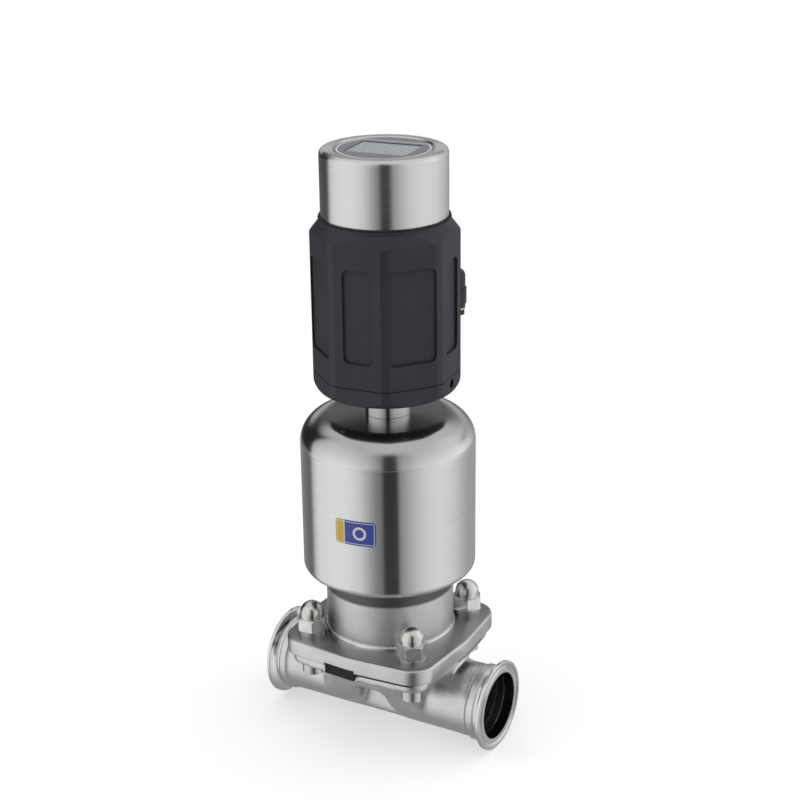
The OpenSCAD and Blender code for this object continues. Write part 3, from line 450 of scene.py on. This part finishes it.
dish_centre, dish_outside, dish_inside = 0.07767, 0.03937, 0.03537
shape = bmesh.new()
for radius in (dish_outside, dish_inside):
    first = shape.verts.new((0, 0, dish_centre - radius))
    reach = math.acos((dish_centre - rim_low) / radius)
    bmesh.ops.spin(
        shape, geom=[first], cent=(0, 0, dish_centre), axis=(0, 1, 0), angle=-reach, steps=14,
    )
dish_rim = sorted(shape.verts, key=lambda vert: vert.co.z)[-2:]
shape.edges.new(dish_rim)
bmesh.ops.spin(
    shape, geom=shape.verts[:] + shape.edges[:], cent=(0, 0, 0), axis=(0, 0, 1),
    angle=2 * math.pi, steps=72, use_merge=True,
)
bmesh.ops.remove_doubles(shape, verts=shape.verts, dist=1e-6)
bmesh.ops.recalc_face_normals(shape, faces=shape.faces)
dish = new_piece("diaphragm_dish", shape)

for piece in (rim, tab, lip, dish):
    piece.data.materials.append(rubber_finish)
    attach(piece, "body")
    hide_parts("diaphragm")
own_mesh(dish)


# Stem: the stud in the diaphragm, the compressor with its cross pin, and the spindle with the
# piston's nut and the feedback rod above. All are turned from bright stainless bar.
def turned_finish(name, dark, bright, rough, pitch):
    """Steel with fine turning rings round the stem's axis."""
    material, shader, place = start_finish(name, {"Metallic": 1.0})
    rings = noise(place, pitch, 3, (0.03, 0.03, 1.0))
    stains = noise(place, 70, 2)
    (rings * 0.6 + stains * 0.4).between(0.3, 0.7).tint(dark, bright).into(shader, "Base Color")
    (rough + rings * 0.12).into(shader, "Roughness")
    relief(shader, place, rings, 0.2, 0.00006)
    return material


coat(
    turned_finish("turned_stem", (0.60, 0.60, 0.60), (0.74, 0.74, 0.73), 0.16, 1800),
    "diaphragm_stud", "compressor", "compressor_pin", "spindle", "piston_nut", "feedback_rod",
)


# Bonnet: a stainless casting, bead-blasted all over. The flange's top carries painted shade,
# darker than its sides, the neck carries a band of painted shadow under the shell, and the bead at
# its foot is turned bright.
# A notch in its front side takes the diaphragm's tab.
bonnet_finish, shader, place = start_finish("blasted_bonnet", {"Metallic": 1.0})
*_, z = axes(place)
patches = noise(place, 38, 4)
grain = noise(place, 1500, 2)
neck_rings = noise(place, 1500, 2, (0.04, 0.04, 1.0))
bead = z.between(0.0766, 0.0769) * z.between(0.0815, 0.0811)
neck = z.between(0.0808, 0.0816)
tone = (patches * 0.6 + grain * 0.25 + neck_rings * neck * 0.15).between(0.28, 0.70)
blasted = tone.tint((0.58, 0.58, 0.58), (0.76, 0.76, 0.76))
# Painted shade: the flange's top is coloured darker than its sides.
flange_top = z.between(0.0758, 0.0763) * z.between(0.0768, 0.0765)
painted_flange_top_shade = (flange_top * 0.72).tint(blasted, (0.24, 0.238, 0.236))
# Painted shadow: a dark band round the neck just under the shell.
painted_neck_shadow = z.between(0.1088, 0.1114).tint(painted_flange_top_shade, (0.135, 0.132, 0.130))
bead.tint(painted_neck_shadow, (0.78, 0.78, 0.78)).into(shader, "Base Color")
(0.21 + patches * 0.12 + grain * 0.08 + neck * 0.12 - bead * 0.06).into(shader, "Roughness")
dimples = noise(place, 980, 2) * (1.2 + neck * 3.6)
cast_skin = grain + dimples + patches * 0.5 + neck_rings * neck * 0.4
relief(shader, place, cast_skin, 0.35, 0.00014, 0.0008)
coat(bonnet_finish, "bonnet")

under_bonnet, tab_room = 0.0640, Vector((0.0003, 0.0030, 0.0003))
shape = bmesh.new()
notch_low = Vector((tab_low.x, tab_low.y, under_bonnet)) - tab_room
add_block(shape, notch_low, tab_high + tab_room, side_turn)
notch = new_piece("notch", shape)
blank = new_piece("bonnet_blank", merged_copy("bonnet"))
cut = blank.modifiers.new("notch", "BOOLEAN")
cut.operation, cut.solver, cut.object = "DIFFERENCE", "EXACT", notch
shape = worked_shape(blank, notch)
mark_creases(shape)
bonnet = new_piece("bonnet_casting", shape)
bonnet.data.materials.append(bonnet_finish)
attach(bonnet, "body")
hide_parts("bonnet")


# Bolting: four socket-head bolts from below, split washers and dome nuts above. The bolts and
# washers are plain stainless, and the nuts are polished with a slightly warm tone.
bolt_finish, shader, place = start_finish("plain_bolts", {"Metallic": 1.0})
smudge = noise(place, 130, 3)
scratch = noise(place, 900, 2, (1.0, 1.0, 0.15))
worn = (smudge * 0.6 + scratch * 0.4).between(0.3, 0.7)
worn.tint((0.55, 0.545, 0.53), (0.72, 0.715, 0.70)).into(shader, "Base Color")
(0.20 + smudge * 0.16).into(shader, "Roughness")
relief(shader, place, scratch, 0.2, 0.00006, 0.0005)
coat(bolt_finish, "flange_bolts", "lock_washers", "base_screws", "cover_screws")

nut_finish, shader, place = start_finish("polished_nuts", {"Metallic": 1.0})
smudge = noise(place, 160, 3)
scratch = noise(place, 1400, 2, (1.0, 1.0, 0.2))
smudge.between(0.3, 0.7).tint((0.62, 0.61, 0.595), (0.76, 0.752, 0.738)).into(shader, "Base Color")
(0.11 + smudge * 0.12 + scratch * 0.05).into(shader, "Roughness")
relief(shader, place, scratch, 0.12, 0.00005, 0.0005)
coat(nut_finish, "dome_nuts")


# Stem guide: a sintered bronze bush pressed into the bonnet's wall.
# Its open pores show as fine dark specks.
bush_finish, shader, place = start_finish("bronze_bush", {"Metallic": 1.0})
pores = noise(place, 3200, 2).between(0.62, 0.72)
pores.tint((0.44, 0.27, 0.10), (0.16, 0.09, 0.04)).into(shader, "Base Color")
(0.34 + pores * 0.3).into(shader, "Roughness")
relief(shader, place, 1 - pores, 0.3, 0.0001)
coat(bush_finish, "guide_bush")


# Seals: black elastomer rings and gaskets, moulded or cut, with a light dusty bloom.
# They sit in grooves of the bonnet, the base plate, the piston and the positioner.
seal_finish, shader, place = start_finish("seal_rubber", {"Specular IOR Level": 0.35})
bloom = noise(place, 120, 3)
dusty = bloom.between(0.35, 0.75)
dusty.tint((0.008, 0.008, 0.009), (0.024, 0.024, 0.026)).into(shader, "Base Color")
(0.58 + bloom * 0.2).into(shader, "Roughness")
relief(shader, place, noise(place, 2200, 2), 0.2, 0.0001)
coat(
    seal_finish,
    "spindle_seal", "base_seal", "piston_seal", "cover_seal", "cap_gasket", "display_foam",
)


# Actuator base, spring plate and lock nuts: turned steel discs and plain hexagon nuts.
# They close the shell below and hold the neck above.
coat(
    turned_finish("turned_plates", (0.54, 0.54, 0.535), (0.69, 0.69, 0.68), 0.24, 1500),
    "actuator_base", "spring_plate", "adapter_nut", "base_nut",
)


# Piston and pilot manifold: aluminium, machined and lightly anodised, so a little milky.
# The piston has a groove for its lip seal.
alloy_finish, shader, place = start_finish("machined_alloy", {"Metallic": 1.0})
rings = noise(place, 1100, 3, (0.05, 0.05, 1.0))
cloud = noise(place, 50, 3)
milky = (rings * 0.5 + cloud * 0.5).between(0.3, 0.7)
milky.tint((0.56, 0.58, 0.60), (0.70, 0.72, 0.74)).into(shader, "Base Color")
(0.32 + cloud * 0.14).into(shader, "Roughness")
relief(shader, place, rings, 0.2, 0.00008)
coat(alloy_finish, "piston", "pilot_block")


# Closing springs: two coils of coated spring wire between the piston and the spring plate,
# wound in opposite directions.
spring_finish, shader, place = start_finish("coated_spring", {"Metallic": 0.0, "Coat Weight": 0.2})
rub = noise(place, 260, 4)
rub.between(0.42, 0.72).tint((0.10, 0.105, 0.11), (0.20, 0.205, 0.21)).into(shader, "Base Color")
(0.38 + rub * 0.2).into(shader, "Roughness")
relief(shader, place, noise(place, 1300, 2), 0.2, 0.0001)


def wound_spring(name, mean_radius, wire, low, high, hand):
    """A wire ring carried round and up the axis in five turns, with its ends closed."""
    turns, steps_per_turn = 5, 40
    steps = turns * steps_per_turn
    foot = Matrix.Translation((mean_radius, 0, low + wire / 2))
    upright = Matrix.Rotation(math.pi / 2, 4, "X")
    shape = bmesh.new()
    bmesh.ops.create_circle(shape, segments=14, radius=wire / 2, matrix=foot @ upright)
    bmesh.ops.spin(
        shape, geom=shape.edges[:], cent=(0, 0, 0), axis=(0, 0, 1),
        dvec=(0, 0, (high - low - wire) / steps), angle=hand * turns * 2 * math.pi, steps=steps,
    )
    bmesh.ops.holes_fill(shape, edges=[edge for edge in shape.edges if edge.is_boundary], sides=0)
    bmesh.ops.recalc_face_normals(shape, faces=shape.faces)
    spring = new_piece(name, shape)
    spring.data.materials.append(spring_finish)
    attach(spring, "body")
    return spring


spring_low, spring_high, stroke = 0.1543, 0.2309, 0.016
for spring, node in (
    (wound_spring("outer_coil", 0.041, 0.0075, spring_low, spring_high, 1), "outer_spring"),
    (wound_spring("inner_coil", 0.028, 0.0055, spring_low, spring_high, -1), "inner_spring"),
):
    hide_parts(node)
    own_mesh(spring)


# Actuator shell: deep-drawn stainless steel, brushed round its axis on the wall. The shoulder
# is drawn and polished and coloured darker than the wall as painted shade, and a fine line shows
# where the brushing starts.
def brushed_finish(name, dark, bright, rough, lines, wall_top=None):
    """Steel brushed round the axis, with polished metal above the brushed wall, coloured darker
    there as painted shade.
    """
    material, shader, place = start_finish(name, {
        "Metallic": 1.0, "Anisotropic": 0.9, "Anisotropic Rotation": 0.25,
    })
    strokes = noise(place, lines, 3, (0.006, 0.006, 1.0))
    cloud = noise(place, 24, 3)
    tone = (strokes * 0.75 + cloud * 0.25).between(0.25, 0.75)
    tone.tint(dark, bright).into(shader, "Base Color")
    (rough + (strokes - 0.5) * 0.07).into(shader, "Roughness")
    relief(shader, place, strokes, 0.08, 0.00004, 0.0006)
    if wall_top:
        *_, z = axes(place)
        seam = abs(z - wall_top).between(0.0005, 0.0002)
        bend = z.between(wall_top, wall_top + 0.013)
        sheen = cloud.between(0.3, 0.7)
        # Painted shade: the shoulder's colour is darker than the wall's.
        painted_shoulder_shade = sheen.tint((0.47, 0.47, 0.48), (0.52, 0.52, 0.53))
        polished = place.node("ShaderNodeBsdfPrincipled", None, {
            "Metallic": 1.0, "Roughness": 0.14 + cloud * 0.05 + seam * 0.2,
            "Base Color": bend.tint(sheen.tint(dark, bright), painted_shoulder_shade),
        })
        drawn = place.node("ShaderNodeMixShader", None, {
            0: z.between(wall_top - 0.0003, wall_top + 0.0003),
            1: Wire(material.node_tree, shader.outputs[0]), 2: polished,
        })
        drawn.into(material.node_tree.nodes["Material Output"], "Surface")
    return material


shell_wall_top = 0.2185
coat(brushed_finish(
    "brushed_shell", (0.67, 0.672, 0.68), (0.745, 0.747, 0.755), 0.185, 3600, shell_wall_top,
), "actuator_shell")


# Tag: a plain two-colour sticker on the shell's wall, blue with a yellow band.
# A thin white frame and one white ring fill it, and it carries no lettering.
tag_from, tag_to = math.radians(-96), math.radians(-68)
tag_low, tag_high, tag_radius = 0.1636, 0.1814, 0.06052
band_edge, ring_centre, ring_radius = -0.0080, 0.0032, 0.0040
frame_outside, frame_inside = 0.0011, 0.0016
edge_x, edge_y = tag_radius * math.cos(tag_from), tag_radius * math.sin(tag_from)
shape = bmesh.new()
foot, head = (shape.verts.new((edge_x, edge_y, level)) for level in (tag_low, tag_high))
edge = shape.edges.new((foot, head))
bmesh.ops.spin(
    shape, geom=[foot, head, edge], cent=(0, 0, 0), axis=(0, 0, 1),
    angle=tag_to - tag_from, steps=10,
)
corners = [vert for vert in shape.verts if len(vert.link_edges) == 2]
bmesh.ops.bevel(
    shape, geom=corners, offset=0.0022,
    affect="VERTICES", segments=5, profile=0.5, material=-1,
)
bmesh.ops.solidify(shape, geom=shape.faces[:], thickness=0.0001)
bmesh.ops.recalc_face_normals(shape, faces=shape.faces)
tag = new_piece("shell_tag", shape, smooth=False)
tag_finish, shader, place = start_finish("printed_tag", {
    "Coat Weight": 0.35, "Coat Roughness": 0.12,
})
x, y, z = axes(place)
along = (y.maths("ARCTAN2", y, x) - (tag_from + tag_to) / 2) * tag_radius
up = z - (tag_low + tag_high) / 2
half_wide, half_tall = tag_radius * (tag_to - tag_from) / 2, (tag_high - tag_low) / 2
yellow = along.between(band_edge + 0.0002, band_edge - 0.0001)


def near_edge(inset):
    """1 in the strip along the tag's edges that is narrower than an inset."""
    sides = abs(along).between(half_wide - inset, half_wide - inset + 0.0003)
    return sides.larger(abs(up).between(half_tall - inset, half_tall - inset + 0.0003))


frame_line = near_edge(frame_inside) * (1 - near_edge(frame_outside))
across = along - ring_centre
ring = abs((across * across + up * up).root() - ring_radius).between(0.0010, 0.0007)
divide = abs(along - band_edge).between(0.0005, 0.0003)
worn = noise(place, 500, 3)
blue = worn.between(0.2, 0.8).tint((0.028, 0.045, 0.30), (0.036, 0.058, 0.37))
base = yellow.tint(blue, (0.62, 0.47, 0.06))
base = ring.larger(divide).tint(base, (0.72, 0.74, 0.76))
frame_line.tint(base, (0.66, 0.68, 0.70)).into(shader, "Base Color")
(0.30 + worn * 0.15).into(shader, "Roughness")
tag.data.materials.append(tag_finish)
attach(tag, "body")


# Neck adapter: a hollow turned collar that carries the positioner above the shell.
# Its bright face mirrors the shell's shoulder.
coat(
    brushed_finish("turned_collar", (0.70, 0.695, 0.685), (0.80, 0.795, 0.785), 0.16, 2600),
    "neck_adapter",
)


# Travel sensing: a plastic-bonded magnet on the rod, the sensor beside it and the pilot valves.
# All are moulded in dark plastic and stand inside the positioner.
magnet_finish, shader, place = start_finish("bonded_magnet", {})
speck = noise(place, 1500, 3)
dark_grey = speck.between(0.35, 0.8)
dark_grey.tint((0.030, 0.030, 0.033), (0.085, 0.085, 0.09)).into(shader, "Base Color")
(0.5 + speck * 0.2).into(shader, "Roughness")
relief(shader, place, speck, 0.2, 0.0001)
coat(magnet_finish, "sensor_magnet")

inner_finish, shader, place = start_finish("inner_plastic", {})
texture = noise(place, 1900, 2)
even = texture.between(0.3, 0.7)
even.tint((0.018, 0.018, 0.020), (0.034, 0.034, 0.037)).into(shader, "Base Color")
(0.42 + texture * 0.2).into(shader, "Roughness")
relief(shader, place, texture, 0.2, 0.0001)
coat(inner_finish, "pilot_valves", "position_sensor")


# Boards: glass-fibre circuit boards with green solder mask and tinned tracks.
# One stands behind the rod, and a round one carries the display.
board_finish, shader, place = start_finish("solder_mask", {"Coat Weight": 0.3})
tracks = place.node("ShaderNodeTexBrick", {"offset": 0.35}, {
    "Vector": place, "Scale": 260.0, "Mortar Size": 0.03,
}, "Fac")
weave = noise(place, 900, 2)
tone = weave.between(0.3, 0.7).tint((0.010, 0.085, 0.035), (0.016, 0.12, 0.05))
tracks.tint(tone, (0.03, 0.22, 0.10)).into(shader, "Base Color")
(0.28 + weave * 0.15).into(shader, "Roughness")
relief(shader, place, tracks, 0.3, 0.0001)
coat(board_finish, "main_board", "display_board")


# Positioner base and housing: black glass-filled plastic, moulded with a fine matt grain.
# Edges are a little rounded and are lighter from wear and a painted highlight. Creases carry
# painted shade, and the panels are set into the flats.
housing_finish, shader, place = start_finish("moulded_housing", {"Specular IOR Level": 0.48})
grain = noise(place, 2400, 2)
cloud = noise(place, 30, 3)
tone = (grain * 0.4 + cloud * 0.6).between(0.3, 0.7)
plain = tone.tint((0.019, 0.0196, 0.0290), (0.029, 0.0298, 0.0415))
face = place.node("ShaderNodeNewGeometry", output="Normal")
# Edges are lightened, partly as wear and partly as a painted highlight.
worn_and_highlit_edge = 1 - place.node("ShaderNodeBevel", {"samples": 8}, {"Radius": 0.0006}).dot(face)
# Painted shade: creases and concave corners are coloured nearly black.
painted_crease_shade = place.node("ShaderNodeAmbientOcclusion", {"samples": 8}, {"Distance": 0.0024}, "AO")
wear_and_highlight_tone = worn_and_highlit_edge.between(0.02, 0.16).tint(plain, (0.056, 0.057, 0.068))
painted_crease_shade.between(0.45, 0.92).tint((0.007, 0.007, 0.009), wear_and_highlight_tone).into(shader, "Base Color")
(0.46 + grain * 0.12 + cloud * 0.06 - worn_and_highlit_edge.between(0.02, 0.16) * 0.10).into(shader, "Roughness")
relief(shader, place, grain, 0.30, 0.00010, 0.0006)
coat(housing_finish, "positioner_base", "positioner_housing")


# Air fitting: a push-in elbow moulded in black plastic, with a pale brass ring at its mouth and
# a loose sleeve below that frees the tube when it is pressed.
fitting_finish, shader, place = start_finish("fitting_plastic", {})
texture = noise(place, 1600, 2)
even = texture.between(0.3, 0.7)
even.tint((0.012, 0.012, 0.013), (0.022, 0.022, 0.024)).into(shader, "Base Color")
(0.30 + texture * 0.18).into(shader, "Roughness")
relief(shader, place, texture, 0.15, 0.0001, 0.0005)
coat(fitting_finish, "elbow_body", "release_sleeve")

ring_finish, shader, place = start_finish("fitting_brass", {"Metallic": 1.0})
dull = noise(place, 400, 3)
dull.between(0.3, 0.7).tint((0.50, 0.42, 0.24), (0.66, 0.57, 0.36)).into(shader, "Base Color")
(0.22 + dull * 0.15).into(shader, "Roughness")
relief(shader, place, noise(place, 2600, 2, (0.1, 0.1, 1.0)), 0.15, 0.00005)
coat(ring_finish, "elbow_ring")


# Signal connector: nickel-plated brass with a hexagon collar, screwed into a rear panel.
# Its open end takes a round plug.
connector_finish, shader, place = start_finish("plated_connector", {"Metallic": 1.0})
film = noise(place, 240, 3)
film.between(0.3, 0.7).tint((0.56, 0.545, 0.51), (0.70, 0.685, 0.65)).into(shader, "Base Color")
(0.16 + film * 0.16).into(shader, "Roughness")
relief(shader, place, noise(place, 1500, 2), 0.1, 0.00005, 0.0004)
coat(connector_finish, "signal_connector")


# Cap: turned from stainless steel and brushed round the axis, with a rounded top edge.
# It twists on three lugs and carries the display.
coat(
    brushed_finish("brushed_cap", (0.68, 0.675, 0.665), (0.75, 0.745, 0.735), 0.27, 3400),
    "positioner_cap",
)


# Window: a clear hard-coated lens in the cap's step, and under it a blank display panel.
# The panel is pale grey glass with a faint grid of pixels.
display_turn = (0, 0, math.radians(-7))
lens_finish, shader, place = start_finish("clear_lens", {
    "Transmission Weight": 1.0, "IOR": 1.45, "Specular IOR Level": 0.5,
})
wipe = noise(place, 60, 3)
wipe.between(0.4, 0.8).tint((0.98, 0.99, 0.99), (0.94, 0.96, 0.97)).into(shader, "Base Color")
(0.01 + wipe.between(0.5, 0.9) * 0.04).into(shader, "Roughness")
coat(lens_finish, "window_lens")

display_finish, shader, place = start_finish("blank_display", {
    "Coat Weight": 0.4, "Coat Roughness": 0.05,
})
turned = place.node("ShaderNodeMapping", None, {"Vector": place, "Rotation": display_turn})
x, y, _ = axes(turned)
half_cell, line_from, line_to = 0.00045, 0.00003, 0.00008
columns, rows = (
    side.maths("PINGPONG", side + 1.0, half_cell).between(line_from, line_to) for side in (x, y)
)
cells = columns * rows
# The panel's colour grows lighter diagonally across it.
fade = (x * 8 + y * 10 + 0.5).between(0.0, 1.0)
field = fade.tint((0.24, 0.275, 0.36), (0.34, 0.375, 0.46))
cells.tint((0.26, 0.29, 0.37), field).into(shader, "Base Color")
(0.22 + noise(place, 700, 2) * 0.1).into(shader, "Roughness")
coat(display_finish, "lcd_panel")


# Label: a printed film on the lens, dark blue-grey and open over the display, with a thin
# white line round the display that runs straight along its far side.
line_radius, line_far_side = 0.0307, 0.0205
label_finish, shader, place = start_finish("printed_film", {
    "Coat Weight": 0.5, "Coat Roughness": 0.08,
})
turned = place.node("ShaderNodeMapping", None, {"Vector": place, "Rotation": display_turn})
x, y, _ = axes(turned)
from_middle = (x * x + y * y).root()
line = abs((from_middle - line_radius).larger(y - line_far_side)).between(0.00075, 0.00045)
tooth = noise(place, 1200, 2)
film = tooth.between(0.3, 0.7).tint((0.100, 0.106, 0.140), (0.118, 0.124, 0.160))
line.tint(film, (0.85, 0.86, 0.88)).into(shader, "Base Color")
(0.30 + tooth * 0.12).into(shader, "Roughness")
coat(label_finish, "display_label")
